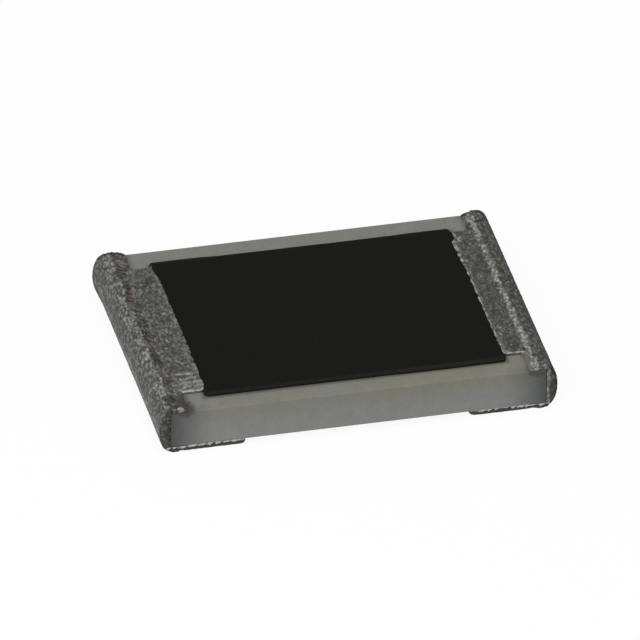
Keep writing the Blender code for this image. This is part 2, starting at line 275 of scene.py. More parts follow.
def mesh_object(name, bm):
    """An object in the scene from a bmesh, which is used up."""
    bmesh.ops.recalc_face_normals(bm, faces=bm.faces)
    mesh = bpy.data.meshes.new(name)
    bm.to_mesh(mesh)
    bm.free()
    item = bpy.data.objects.new(name, mesh)
    scene.collection.objects.link(item)
    return item


def applied(item):
    """The object's mesh with its modifiers worked in, and the modifiers gone."""
    graph = bpy.context.evaluated_depsgraph_get()
    mesh = bpy.data.meshes.new_from_object(item.evaluated_get(graph))
    old = item.data
    item.modifiers.clear()
    item.data = mesh
    bpy.data.meshes.remove(old)
    return item


def finish_piece(item, node, material):
    """Scale a piece to metres, give it its finish and hide the layer it stands for."""
    item.data.transform(Matrix.Scale(MM, 4))
    item.data.materials.clear()
    item.data.materials.append(material)
    item.data.shade_smooth()
    item.data.set_sharp_from_angle(angle=SHARP_ANGLE)
    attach(item, "root")
    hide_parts(node)
    triangles = sum(len(face.vertices) - 2 for face in item.data.polygons)
    print(f"{item.name}: {triangles} triangles")


print(f"sharp edges from {math.degrees(SHARP_ANGLE):.0f} degrees")

# %% [markdown]
# Shared groups: grain and crystals
#
# Ceramic, print and tin all have some grain, so it is one node group that each finish places
# with its own numbers. Noise alone gives clouds. Plated tin grows in rounded crystals: Voronoi
# cells, pushed about by noise so that no edge is straight, each domed and lit by its own share.

# %% Grain
FLOAT = "NodeSocketFloat"
VECTOR = "NodeSocketVector"
STRETCH = (1, 0.65, 1)
GRAIN_DETAIL = 2.0


def new_group(name, inputs, output):
    """An empty group, the sockets it reads and its output node. An input is (name, kind, value)."""
    group = bpy.data.node_groups.new(name, "ShaderNodeTree")
    for label, kind, value in inputs:
        socket = group.interface.new_socket(label, in_out="INPUT", socket_type=kind)
        if value is not None:
            socket.default_value = value
    group.interface.new_socket(output, in_out="OUTPUT", socket_type=FLOAT)
    return group, group.nodes.new("NodeGroupInput").outputs, group.nodes.new("NodeGroupOutput")


grain_group, given, sink = new_group(
    "grain",
    [("Place", VECTOR, None), ("Grains per mm", FLOAT, 30.0), ("Low", FLOAT, 0.3), ("High", FLOAT, 0.7)],
    "Grain",
)
drawn_out = add_node(grain_group, "Mapping", {"Vector": given["Place"], "Scale": STRETCH})
cloud = add_node(grain_group, "TexNoise", {
    "Vector": drawn_out, "Scale": given["Grains per mm"], "Detail": GRAIN_DETAIL,
}, "Fac")
spread = add_node(grain_group, "MapRange", {
    "Value": cloud, "From Min": given["Low"], "From Max": given["High"],
})
fill_sockets(grain_group, sink, {"Grain": spread})
print("group:", grain_group.name)

# %% Crystals
PUSH = (0.05, 0.05, 0.05)
PUSHES_PER_MM = 22.0
CELL_RIM = 0.95
DULL_CELL, BRIGHT_CELL = 0.3, 1.6

crystal_group, given, sink = new_group(
    "crystals", [("Place", VECTOR, None), ("Crystals per mm", FLOAT, 20.0)], "Crystal",
)
drawn_out = add_node(crystal_group, "Mapping", {"Vector": given["Place"], "Scale": STRETCH})
push = add_node(crystal_group, "TexNoise", {"Vector": given["Place"], "Scale": PUSHES_PER_MM}, "Color")
pushed = add_node(crystal_group, "VectorMath", {0: push, 1: PUSH, 2: drawn_out}, operation="MULTIPLY_ADD")
distance = add_node(crystal_group, "TexVoronoi", {
    "Vector": pushed, "Scale": given["Crystals per mm"],
}, "Distance")
dome = add_node(crystal_group, "MapRange", {
    "Value": distance, "From Max": CELL_RIM, "To Min": 1.0, "To Max": 0.0,
}, soft=True)
shine = add_node(crystal_group, "SeparateColor", {"Color": distance.node.outputs["Color"]}, "Red")
uneven = add_node(crystal_group, "MapRange", {"Value": shine, "To Min": DULL_CELL, "To Max": BRIGHT_CELL})
fill_sockets(crystal_group, sink, {"Crystal": add_math(crystal_group, "MULTIPLY", dome, uneven)})
print("group:", crystal_group.name)

# %% [markdown]
# Shared groups: bands and spots
#
# Stains, rims and pads begin and end at places that are known in millimetres. A band is 1
# between two values and falls softly to 0 outside them. A spot is an oval whose rim noise
# makes ragged. Painting an image could do the same, but these stay sharp at any distance.

# %% Bands and spots
RAGS_PER_MM = 25.0
SPOT_FULL, SPOT_GONE = 0.9, 1.5

band_group, given, sink = new_group(
    "band",
    [("Value", FLOAT, 0.0), ("From", FLOAT, 0.0), ("To", FLOAT, 1.0), ("Softness", FLOAT, 0.05)],
    "Mask",
)
edges = []
for label, operation in (("From", "SUBTRACT"), ("To", "ADD")):
    outside = add_math(band_group, operation, given[label], given["Softness"])
    edges.append(add_node(band_group, "MapRange", {
        "Value": given["Value"], "From Min": outside, "From Max": given[label],
    }, soft=True))
fill_sockets(band_group, sink, {"Mask": add_math(band_group, "MULTIPLY", *edges)})

spot_group, given, sink = new_group(
    "spot", [("Place", VECTOR, None), ("Centre", VECTOR, (0, 0, 0)), ("Size", VECTOR, (1, 1, 1))], "Mask",
)
away = add_node(spot_group, "VectorMath", {0: given["Place"], 1: given["Centre"]}, operation="SUBTRACT")
in_sizes = add_node(spot_group, "VectorMath", {0: away, 1: given["Size"]}, operation="DIVIDE")
far = add_node(spot_group, "VectorMath", {0: in_sizes}, "Value", "LENGTH")
ragged = add_node(spot_group, "TexNoise", {"Vector": given["Place"], "Scale": RAGS_PER_MM}, "Fac")
fall = add_node(spot_group, "MapRange", {
    "Value": add_math(spot_group, "ADD", far, ragged),
    "From Min": SPOT_FULL, "From Max": SPOT_GONE, "To Min": 1.0, "To Max": 0.0,
}, soft=True)
fill_sockets(spot_group, sink, {"Mask": fall})
print("groups:", band_group.name, "and", spot_group.name)

# %% [markdown]
# A finish in reading order
#
# A surface is built up as it is seen: a base colour, one tint or shade after another, and a
# fine bump. Nodes could be wired one by one, but two small classes add them step by step, the
# first for masks and the second for colours, so that a finish reads from top to bottom. Places
# are Object coordinates in millimetres, and FAR lies beyond every edge of the chip.

# %% Masks
FAR = 9


class Masks:
    """A new material, with measures and masks that depend on the place on the chip."""

    def __init__(self, name):
        self.material = bpy.data.materials.new(name)
        self.material.use_nodes = True
        self.tree = self.material.node_tree
        here = self.add("TexCoord", {}, "Object")
        self.place = self.add("Mapping", {"Vector": here, "Scale": (1 / MM, 1 / MM, 1 / MM)})
        self.x, self.y, self.z = self.add("SeparateXYZ", {"Vector": self.place}).node.outputs

    def add(self, kind, sockets, output=0):
        """One output of a new node in this material."""
        return add_node(self.tree, kind, sockets, output)

    def shared(self, group, sockets):
        """The output of a shared group that is placed here with its own values."""
        node = self.tree.nodes.new("ShaderNodeGroup")
        node.node_tree = group
        fill_sockets(self.tree, node, sockets)
        return node.outputs[0]

    def math(self, operation, first, second=0.0):
        """The output of a Math node on two values."""
        return add_math(self.tree, operation, first, second)

    def grain(self, per_mm, low=0.3, high=0.7):
        """Cloudy grain: 0 where the noise is under the low value and 1 over the high one."""
        return self.shared(grain_group, {
            "Place": self.place, "Grains per mm": per_mm, "Low": low, "High": high,
        })

    def crystals(self, per_mm):
        """Rounded cells, each with its own brightness, between 0 and about 1."""
        return self.shared(crystal_group, {"Place": self.place, "Crystals per mm": per_mm})

    def band(self, value, soft, start=-FAR, end=FAR):
        """1 between two values, falling to 0 over a soft edge outside each of them."""
        return self.shared(band_group, {"Value": value, "From": start, "To": end, "Softness": soft})

    def spot(self, centre, size):
        """1 in the middle of an oval spot in millimetres, falling to 0 at its ragged rim."""
        return self.shared(spot_group, {"Place": self.place, "Centre": centre, "Size": size})

    def ramp(self, value, start, end):
        """0 up to one value and 1 from the other on, with a straight run between them."""
        return self.add("MapRange", {"Value": value, "From Min": start, "From Max": end})

    def outward(self, side):
        """How far a place lies from the chip's middle towards one end, in millimetres."""
        return self.math("MULTIPLY", self.x, side)

    def wavy(self, value, depth, per_mm, low=0.3, high=0.7):
        """A value with grain added to it, so that a band along it gets a wavy edge."""
        return self.math("ADD", value, self.math("MULTIPLY", self.grain(per_mm, low, high), depth))

    def facing_away(self):
        """0 where a face looks at the eye and 1 at the outline."""
        return self.add("LayerWeight", {}, "Facing")

    def all_of(self, *masks):
        """The product of several masks."""
        product = masks[0]
        for mask in masks[1:]:
            product = self.math("MULTIPLY", product, mask)
        return product


print(f"masks reach {FAR} mm to every side")

# %% Colours and bump
class Finish(Masks):
    """A material whose colours are laid on in reading order, each over the last one."""

    def __init__(self, name, colour, roughness, metallic=0.0, gloss=0.5):
        super().__init__(name)
        self.shader = self.tree.nodes["Principled BSDF"]
        fill_sockets(self.tree, self.shader, {
            "Roughness": roughness, "Metallic": metallic, "Specular IOR Level": gloss,
        })
        self.colour = (*colour, 1.0)

    def mix_in(self, share, colour, blend):
        """Blend a colour into what is there, in a way that Blender names."""
        node = self.tree.nodes.new("ShaderNodeMix")
        node.data_type = "RGBA"
        node.blend_type = blend
        fill_sockets(self.tree, node, {0: share, 6: self.colour, 7: colour})
        self.colour = node.outputs[2]

    def tint(self, colour, *masks):
        """Lay a colour over what is there, as strong as its masks together."""
        self.mix_in(self.all_of(*masks), (*colour, 1.0), "MIX")

    def shade_by(self, value, dark, light):
        """Multiply the colour by a grey that runs from dark to light with the value."""
        level = self.add("MapRange", {"Value": value, "To Min": dark, "To Max": light})
        grey = self.add("CombineColor", {"Red": level, "Green": level, "Blue": level})
        self.mix_in(1.0, grey, "MULTIPLY")

    def shade_where(self, level, *masks):
        """Multiply the colour by one grey level, as strongly as its masks together."""
        self.shade_by(self.all_of(*masks), 1.0, level)

    def bump(self, height, depth_mm):
        """A fine relief that tilts the light and leaves the mesh as it is."""
        tilted = self.add("Bump", {"Height": height, "Strength": 1.0, "Distance": depth_mm * MM})
        fill_sockets(self.tree, self.shader, {"Normal": tilted})

    def done(self):
        """The finished material."""
        fill_sockets(self.tree, self.shader, {"Base Color": self.colour})
        return self.material


print("a finish is laid on from its base colour up")

# %% [markdown]
# The ceramic and its painted shade
#
# The chip is pressed and fired alumina: a matt, slightly warm grey, a little yellow in broad
# patches towards the top and paler along the back. Its sides are painted darker high up and
# lighter low down, as light thrown back by the floor, its front upper edge is painted in shade,
# and beside each bead's foot the top face carries a painted shadow. Next to the plated ends its
# side turns darker and bluer. The imported solid has the right form, so only its finish is new.
# These tones could be painted on an image, but masks from the chip's own sizes end exactly
# where the tin begins.

# %% Ceramic colours
ALUMINA = (0.196, 0.198, 0.188)
WARM_PATCH = (0.194, 0.191, 0.156)
PALE_MARGIN = (0.212, 0.21, 0.189)
DARKER_TOWARDS_ENDS = {-1: (0.05, 0.05, 0.052), 1: (0.052, 0.057, 0.058)}
DARKENING_REACH = 0.53
DARKENING_FALL = 1.2
UNDER_TIN = 0.035
WRAP_CORNER = {-1: 0.215, 1: 0.172}
FOOT_SHADOW_REACH = 0.09

ceramic = Finish("fired alumina", ALUMINA, roughness=0.75, gloss=0.2)
upper = ceramic.band(ceramic.z, soft=0.16, start=CHIP_TOP - 0.06)
ceramic.tint(WARM_PATCH, upper, ceramic.band(ceramic.y, soft=0.7, end=0.6), ceramic.grain(1.1, 0.35, 0.6))
top_face = ceramic.band(ceramic.z, soft=0.002, start=CHIP_TOP - 0.005)
# Painted light: the top face is made lighter, so that the painted floor light below leaves it about as it
# was.
ceramic.shade_where(1.094, top_face)
ceramic.tint(PALE_MARGIN, top_face, ceramic.band(ceramic.y, soft=0.4, start=1.0))
# Painted shade on the front upper edge, which keeps its small bevel from catching a highlight.
front_edge_shade = ceramic.band(ceramic.y, soft=0.008, end=-CHIP_SIDE + 0.004)
ceramic.shade_where(0.94, front_edge_shade, ceramic.band(ceramic.z, soft=0.016, start=CHIP_TOP - 0.002))
# Painted light: every face darker high up and lighter low down, as light thrown back by the floor.
floor_bounce_light = ceramic.band(ceramic.z, soft=0.45, end=CHIP_BOTTOM)
ceramic.shade_by(floor_bounce_light, 0.912, 1.043)
front = ceramic.band(ceramic.y, soft=0.15, end=-CHIP_SIDE + 0.02)
# The front side turns darker and bluer towards each plated end.
for side, colour in DARKER_TOWARDS_ENDS.items():
    out = ceramic.outward(side)
    close = ceramic.ramp(out, CHIP_END + UNDER_TIN - DARKENING_REACH, CHIP_END + UNDER_TIN)
    ceramic.tint(colour, ceramic.math("POWER", close, DARKENING_FALL), front)
    # Painted shadow on the top face beside each bead's foot.
    foot = ceramic.band(out, soft=FOOT_SHADOW_REACH, start=CHIP_END - WRAP_CORNER[side])
    ceramic.shade_where(0.6, foot, top_face)
print(f"darkening reaches {DARKENING_REACH} mm from under the tin")

# %% [markdown]
# Dark lines, smudges and mottling
#
# The top face is darker just outside the black print, the chip's lower front edge beside the
# left pad is painted in shade where chip and pad meet, and brown smudges of flux at the feet of
# the beads are painted darker as shadow too. Ambient occlusion could darken such corners, but
# knows nothing of flux. Three sizes of grain over everything give the mottling of fired alumina.

# %% Ceramic marks
FLUX_AND_SHADOW = (0.06, 0.058, 0.053)
FLUX_AND_SHADOW_SPOTS = (((-1.955, -1.52, 0.52), (0.15, 0.26, 0.1)), ((2.05, -1.6, 0.49), (0.17, 0.2, 0.075)))
DARK_BY_PRINT_REACH = 0.06
MOTTLING = ((45, 0.2, 0.8, 0.06), (6, 0.3, 0.7, 0.035), (13, 0.3, 0.7, 0.025))


def past_print(finish):
    """How far a place lies outside the print's span, along X and along Y, in mm."""
    distances = []
    for value, low, high in ((finish.x, cover_low.x, cover_high.x), (finish.y, cover_low.y, cover_high.y)):
        middle, half = (low + high) / 2, (high - low) / 2
        away = finish.math("ABSOLUTE", finish.math("SUBTRACT", value, middle))
        distances.append(finish.math("SUBTRACT", away, half))
    return distances


# Painted shade on the lower front edge beside the left pad, where chip and pad meet.
low_edge_shade = ceramic.band(ceramic.z, soft=0.012, start=0, end=CHIP_BOTTOM + 0.006)
ceramic.shade_where(0.7, ceramic.band(ceramic.x, soft=0.01, end=-pad_low.x), front, low_edge_shade)
# Brown flux smudges at the beads' feet, painted darker as shadow too.
for centre, size in FLUX_AND_SHADOW_SPOTS:
    ceramic.tint(FLUX_AND_SHADOW, ceramic.spot(centre, size))
past_end, past_side = past_print(ceramic)
# The top face darkens just outside the print's edge.
dark_by_print = ceramic.band(ceramic.math("MAXIMUM", past_end, past_side), soft=DARK_BY_PRINT_REACH, end=0.0)
ceramic.shade_where(0.55, dark_by_print, top_face)
for per_mm, low, high, swing in MOTTLING:
    ceramic.shade_by(ceramic.grain(per_mm, low, high), 1 - swing, 1 + swing)
ceramic.bump(ceramic.grain(40, 0.2, 0.8), 0.002)
ceramic_finish = ceramic.done()

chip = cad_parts["ceramic_substrate"]
for slot in chip.material_slots:
    slot.material = ceramic_finish
print("ceramic finish on", chip.name)

# %% [markdown]
# The section of a dipped end
#
# Each end of the chip is dipped in silver paste. Surface tension pulls the paste into a bead
# on the top face, a rounded bulge over the end face and a thin lip below. Nickel and tin grow
# evenly on it. A box with bevelled edges would be as round above as below. So the section is
# drawn: a rising curve for the bead, then two quarters of a rounded rectangle that are squarer
# the higher their power is. Grown by a layer's thickness, it is the section of that layer.

# %% Section of a dipped end
BEAD_RUN = 0.113
WRAP_MIDDLE = 0.18
LIP_WRAP = 0.17
LIP_RUN = 0.085
UPPER_BULGE_POWER = 2.5
LOWER_BULGE_POWER = 2.3
BEAD_POWER = 1.5
ARC_POINTS = 14
QUARTER_TURN = math.radians(90)
MIDDLE_HEIGHT = (CHIP_TOP + CHIP_BOTTOM) / 2


def rounded(x, z, reach, height, angle, power):
    """A point on a quarter of a rounded rectangle. A higher power is squarer."""
    return x + reach * math.cos(angle) ** (2 / power), z + height * math.sin(angle) ** (2 / power)


def end_outline(grow):
    """The section of the right end, in X and Z, grown by one amount all round."""
    foot = CHIP_END - WRAP_MIDDLE - grow
    crest = CHIP_END - WRAP_MIDDLE + BEAD_RUN
    reach = silver_high.x + grow
    top = silver_high.z + grow
    low = silver_low.z - grow
    lip_foot = CHIP_END - LIP_WRAP - grow
    lip_crest = CHIP_END - LIP_WRAP + LIP_RUN
    outline = []
    for step in range(ARC_POINTS):
        share = step / ARC_POINTS
        drop = (top - CHIP_TOP) * (1 - share) ** BEAD_POWER
        outline.append((foot + (crest - foot) * share, top - drop))
    for step in range(ARC_POINTS):
        angle = QUARTER_TURN * (1 - step / ARC_POINTS)
        sizes = (reach - crest, top - MIDDLE_HEIGHT)
        outline.append(rounded(crest, MIDDLE_HEIGHT, *sizes, angle, UPPER_BULGE_POWER))
    for step in range(ARC_POINTS):
        angle = QUARTER_TURN * step / ARC_POINTS
        sizes = (reach - lip_crest, MIDDLE_HEIGHT - low)
        x, z = rounded(lip_crest, MIDDLE_HEIGHT, *sizes, angle, LOWER_BULGE_POWER)
        outline.append((x, 2 * MIDDLE_HEIGHT - z))
    outline.append((lip_crest, low))
    outline.append((lip_foot, CHIP_BOTTOM))
    return outline


print("section of", len(end_outline(0)), "points")

# %% [markdown]
# The section pushed along the chip
#
# At the left end the paste runs further at the corners than in the middle, at the right end a
# little less far, and a bead's foot is never straight. A loft between sections could follow
# that. It is simpler to extrude one section, to slice it, and to move the slices' upper points.

# %% Dipped end
SLICES = 48
SEED_TO_Y, SEED_TO_Z = 0.37, 1.7
FOOT_WAVES_PER_MM = 3.1


def wander(place, per_mm, seed):
    """Smooth noise between about -1 and 1."""
    return noise.noise(place * per_mm + Vector((seed, SEED_TO_Y * seed, SEED_TO_Z * seed)))


def dipped_end(side, grow, wobble=0.0):
    """The whole outer form of one dipped end, as a closed body, its bead's foot wavy if asked."""
    half = silver_high.y + grow
    bm = bmesh.new()
    face = bm.faces.new([bm.verts.new((side * x, -half, z)) for x, z in end_outline(grow)])
    moved = bmesh.ops.extrude_face_region(bm, geom=[face], use_keep_orig=True)["geom"]
    far_verts = [part for part in moved if isinstance(part, bmesh.types.BMVert)]
    bmesh.ops.translate(bm, verts=far_verts, vec=(0, 2 * half, 0))
    long_edges = [edge for edge in bm.edges if edge.calc_length() > half]
    bmesh.ops.subdivide_edges(bm, edges=long_edges, cuts=SLICES)
    for vert in bm.verts:
        if vert.co.z > CHIP_TOP:
            near = min(max((CHIP_END - abs(vert.co.x)) / WRAP_MIDDLE, 0), 1)
            drawn = (WRAP_CORNER[side] - WRAP_MIDDLE) * (vert.co.y / silver_high.y) ** 2
            wave = wobble * wander(Vector((side, vert.co.y, 0)), FOOT_WAVES_PER_MM, seed=2)
            vert.co.x -= side * near * (drawn + wave)
    return bm


print(f"slices {2 * silver_high.y / (SLICES + 1):.3f} mm apart")

# %% [markdown]
# Strips and pads
#
# Between the bead and the overcoat a strip of the printed contact is bare silver until it is
# plated, and under each end a printed pad stands on the board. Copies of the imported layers
# would do, but boxes are easier to grow by a layer's thickness. The pad's upright edges are
# bevelled, as print has no crisp corners. The bodies of one end are united later, all at once.

# %% Strips and pads
PAD_CORNER = 0.04
CORNER_SEGMENTS = 4


def block(x_span, y_span, z_span, radius=0.0):
    """A box between two values along each axis, with its upright edges rounded if asked."""
    spans = (sorted(x_span), y_span, z_span)
    sizes = [high - low for low, high in spans]
    middles = [(low + high) / 2 for low, high in spans]
    place = Matrix.Translation(middles) @ Matrix.Diagonal((*sizes, 1))
    bm = bmesh.new()
    bmesh.ops.create_cube(bm, size=1, matrix=place)
    if radius:
        upright = [
            edge for edge in bm.edges
            if abs(edge.verts[0].co.z - edge.verts[1].co.z) > sizes[2] / 2
        ]
        bmesh.ops.bevel(
            bm, geom=upright, offset=radius, segments=CORNER_SEGMENTS, profile=0.5,
            affect="EDGES", material=-1,
        )
    return bm


def contact_strip(side, grow, inner_end):
    """The strip over the printed top contact, from the overcoat's edge to under the bead."""
    half = contact_high.y + grow
    x_span = (side * inner_end, side * contact_high.x)
    return block(x_span, (-half, half), (CHIP_TOP - grow, contact_high.z + grow))


def pad_form(side, grow):
    """The pad under the chip, let into the chip's underside a little."""
    half = pad_high.y + grow
    x_span = (side * (pad_low.x - grow), side * (pad_high.x + grow))
    return block(x_span, (-half, half), (pad_low.z - grow, CHIP_BOTTOM + grow), PAD_CORNER + grow)


def joined(*bodies):
    """Several closed bodies in one bmesh."""
    bm = bmesh.new()
    for body in bodies:
        mesh = bpy.data.meshes.new("body")
        body.to_mesh(mesh)
        body.free()
        bm.from_mesh(mesh)
        bpy.data.meshes.remove(mesh)
    return bm


print(f"pads {pad_high.x - pad_low.x:.3f} mm long, strips {2 * contact_high.y:.3f} mm wide")

# %% [markdown]
# The overcoat
#
# The black overcoat is screen printed over the glass and fired. Its face is flat, its edges
# fall softly and wander a little with the weave of the screen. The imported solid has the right
# form with straight edges. A Displace modifier would move its face as well as its rim. So a
# copy of it is taken, its loose triangles are welded, the long edges of its rim are cut up, and
# only the rim's points are moved: with noise, and where the print ran at a corner or a side.

# %% Edges of the overcoat
RIM_WIDTH = 0.04
EDGE_WAVE = 0.005
LONG_WAVES_PER_MM, SHORT_WAVES_PER_MM, SIDE_WAVES_PER_MM = 1.7, 7, 2.3
PRINT_SKEW = 0.004
CORNER_SPREAD, PAST_STRIP = 0.02, (1.25, 1.29)
BACK_SPREAD, BACK_MIDDLE, BACK_ENDS = 0.014, 0.05, (0.95, 1.2)
FRONT_DRAW, FRONT_MIDDLE, FRONT_ENDS = 0.006, -0.2, (0.55, 0.85)


def smooth_step(value, start, end):
    """0 up to the start and 1 from the end on, with a soft run between them."""
    share = min(max((value - start) / (end - start), 0), 1)
    return share * share * (3 - 2 * share)


def edge_wave(side, y):
    """How far the overcoat's end edge lies from its straight line at one place, in mm."""
    place = Vector((side, y, 0))
    long_wave = wander(place, LONG_WAVES_PER_MM, seed=4)
    return EDGE_WAVE * (long_wave + 0.5 * wander(place, SHORT_WAVES_PER_MM, seed=8))


def rim_side(value, low, high):
    """-1 or 1 in the rim at the low or the high end of the print's span, and 0 between them."""
    return (value > high - RIM_WIDTH) - (value < low + RIM_WIDTH)


def rim_sides(vert):
    """At which end and which long side of the print a point lies in the rim."""
    return rim_side(vert.co.x, cover_low.x, cover_high.x), rim_side(vert.co.y, cover_low.y, cover_high.y)


def move_rim(vert):
    """Move a point of the rim to where the print's edge really runs."""
    end, long_side = rim_sides(vert)
    if end < 0:
        vert.co.x -= edge_wave(-1, vert.co.y) + CORNER_SPREAD * smooth_step(vert.co.y, *PAST_STRIP)
    elif end > 0:
        vert.co.x += edge_wave(1, vert.co.y)
    if long_side:
        along = Vector((vert.co.x, round(vert.co.y), 0))
        vert.co.y += EDGE_WAVE * wander(along, SIDE_WAVES_PER_MM, seed=6)
        vert.co.y -= PRINT_SKEW * vert.co.x
        if long_side > 0:
            vert.co.y += BACK_SPREAD * smooth_step(abs(vert.co.x - BACK_MIDDLE), *BACK_ENDS)
        else:
            vert.co.y += FRONT_DRAW * (1 - smooth_step(abs(vert.co.x - FRONT_MIDDLE), *FRONT_ENDS))


print(f"the left edge's middle is moved {edge_wave(-1, 0) * 1000:.1f} micrometres")

# %% Form of the overcoat
RIM_STEP = 0.02
LONG_EDGE = 1.0
WELD_DISTANCE = 0.0005
FLAT_ANGLE = math.radians(2)


def welded_copy(node):
    """A packed layer's mesh in millimetres, with its triangles welded and its flats joined."""
    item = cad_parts[node]
    bm = bmesh.new()
    bm.from_mesh(item.data)
    bmesh.ops.transform(bm, matrix=Matrix.Scale(1 / MM, 4) @ item.matrix_world, verts=bm.verts)
    bmesh.ops.remove_doubles(bm, verts=bm.verts, dist=WELD_DISTANCE)
    bmesh.ops.dissolve_limit(bm, angle_limit=FLAT_ANGLE, verts=bm.verts, edges=bm.edges)
    return bm


def overcoat_form(grow=0.0):
    """The overcoat with its wavy edges, grown by one amount all round."""
    bm = welded_copy("overcoat")
    long_edges = [
        edge for edge in bm.edges
        if edge.calc_length() > LONG_EDGE and all(any(rim_sides(vert)) for vert in edge.verts)
    ]
    bmesh.ops.subdivide_edges(bm, edges=long_edges, cuts=round(cover_high.x / RIM_STEP))
    for vert in bm.verts:
        move_rim(vert)
    bmesh.ops.recalc_face_normals(bm, faces=bm.faces)
    bm.normal_update()
    for vert in bm.verts:
        vert.co += vert.normal * grow
    return bm


black_overcoat = mesh_object("black_overcoat", overcoat_form())
print(f"overcoat {cover_high.x - cover_low.x:.2f} x {cover_high.y - cover_low.y:.2f} mm")

# %% [markdown]
# The overcoat's finish
#
# The black print is almost dead matt. Where it thins out at its rim, a little of the ceramic
# shows through. A see-through shader could do that, but would be slow and noisy for a hundredth
# of a millimetre. A lighter tint beyond the print's straight span looks the same.

# %% Finish of the overcoat
BLACK = (0.0078, 0.0076, 0.0070)
THIN_PRINT = (0.017, 0.0165, 0.0145)

overcoat = Finish("black overcoat", BLACK, roughness=0.8, gloss=0.03)
past_end, past_side = past_print(overcoat)
end_rim = overcoat.band(past_end, soft=0.04, start=0)
side_rim = overcoat.band(past_side, soft=0.06, start=0)
overcoat.tint(THIN_PRINT, overcoat.math("MAXIMUM", end_rim, side_rim))
overcoat.shade_by(overcoat.grain(30), 0.92, 1.08)
overcoat.bump(overcoat.grain(40), 0.001)
finish_piece(black_overcoat, "overcoat", overcoat.done())

# %% [markdown]
# How the two ends differ
#
# Dipping is never quite even: the left end is fuller at its back corner, the right one flatter
# and lifted at its lower front corner. Plating then creeps over the overcoat's edge and rolls up
# there, more on the right than on the left. Sculpting would give such forms by eye. Functions
# of the place say each one in millimetres and fade it with soft steps, so it can be corrected.

# %% Swells of the two ends
BEAD_RISE, END_FALL, TOP_FALL = 0.06, 0.08, 0.1
BEAD_DEPTH = 0.12
BACK_BULGE, BACK_LIFT, FOOT_BULGE, PAD_SAG = 0.015, 0.006, 0.008, 0.008
RIGHT_FLAT, RIGHT_LIFT = 0.003, 0.008


def bead_share(place):
    """1 on the bead's upper face, falling to 0 down the end and on the printed strip."""
    beyond = (abs(place.x) - (CHIP_END - WRAP_MIDDLE)) / BEAD_RISE
    outer = (silver_high.x - abs(place.x)) / END_FALL
    high = (place.z - (CHIP_TOP - BEAD_DEPTH)) / TOP_FALL
    return min(max(min(beyond, outer, high), 0), 1)


def left_swell(place):
    """Outwards and upwards: fuller at the back corner and the front foot, thick under the pad."""
    back = smooth_step(place.y, 1.2, 1.6)
    low = smooth_step(-place.z, -0.25, -0.07)
    outward = BACK_BULGE * back + FOOT_BULGE * low * smooth_step(-place.y, 0.9, 1.5)
    under = smooth_step(-place.z, -0.04, -0.02) * smooth_step(place.x, -2.02, -1.94)
    upward = BACK_LIFT * back * smooth_step(place.z, CHIP_TOP, CHIP_TOP + 0.03)
    return outward, upward - PAD_SAG * under


def right_swell(place):
    """Outwards and upwards: a little flatter below, and lifted at the lower front corner."""
    low = smooth_step(-place.z, -0.16, -0.06)
    lip = smooth_step(place.x, CHIP_END - 0.22, CHIP_END - 0.16) * smooth_step(-place.z, -0.03, -0.01)
    return -RIGHT_FLAT * low, RIGHT_LIFT * lip * smooth_step(-place.y, 1.3, 1.5)


print(f"the left end swells {BACK_BULGE * 1000:.0f} micrometres at its back corner")

# %% Creep over the overcoat
CREEP_ENDS = (1.12, 1.3)
LEFT_CREEP, LEFT_ROLL = 0.033, 0.015
RIGHT_CREEP, RIGHT_CREEP_MORE = 0.03, 0.018
RIGHT_ROLL, RIGHT_ROLL_MORE = 0.0135, 0.005
WIDEST_CREEP = RIGHT_CREEP + RIGHT_CREEP_MORE


def left_creep(y):
    """How far the tin creeps over the left edge of the overcoat at one place, and how high."""
    ends = (1 - smooth_step(y, 0.9, 1.15)) * (1 - smooth_step(-y, *CREEP_ENDS))
    return LEFT_CREEP * ends, LEFT_ROLL


def right_creep(y):
    """The same for the right edge, where it creeps further at the front and at the back."""
    front, back = smooth_step(-y, 0.5, 0.85), smooth_step(y, 0.5, 0.75)
    ends = (1 - smooth_step(-y, *CREEP_ENDS)) * (1 - smooth_step(y, 1.0, 1.09))
    creep = (RIGHT_CREEP + RIGHT_CREEP_MORE * max(front, back)) * ends
    return creep, RIGHT_ROLL + RIGHT_ROLL_MORE * back * ends


print(f"tin creeps up to {WIDEST_CREEP:.3f} mm over the overcoat")

# %% [markdown]
# The tin skins
#
# Tin is plated last and has a grainy, slightly lumpy face that bridges the pores of the paste
# below. A plated skin could be made with a Solidify modifier, but it has to follow the paste,
# the printed strip and the pad all at once. So the full outer form is joined into one fine
# voxel mesh, which rounds the inner corners as plating does. Its points are then pushed in and
# out by layers of noise, and the room for everything that the tin lies on is cut out of it.

# %% Outer form of the tin
VOXEL = 0.0105
LAYER_GAP = 0.002
GROW_TIN = tin_high.x - silver_high.x
GROW_UNDER_TIN = nickel_high.x - silver_high.x + LAYER_GAP
FOOT_WAVE = 0.02


def print_end(side):
    """Where the overcoat ends on one side of the chip, in mm from the middle."""
    return abs(cover_low.x if side < 0 else cover_high.x)


def tin_body(word, side):
    """Everything that the tin encloses on one end, as one closed mesh of even voxels."""
    outside = (
        dipped_end(side, GROW_TIN, FOOT_WAVE),
        contact_strip(side, GROW_TIN, print_end(side) + LAYER_GAP - WIDEST_CREEP - 2 * EDGE_WAVE),
        pad_form(side, GROW_TIN),
    )
    body = mesh_object(f"tin_{word}", joined(*outside))
    voxels = body.modifiers.new("voxels", "REMESH")
    voxels.mode = "VOXEL"
    voxels.voxel_size = VOXEL
    return applied(body)


print(f"tin grows {GROW_TIN:.3f} mm on the silver, in voxels of {VOXEL} mm")

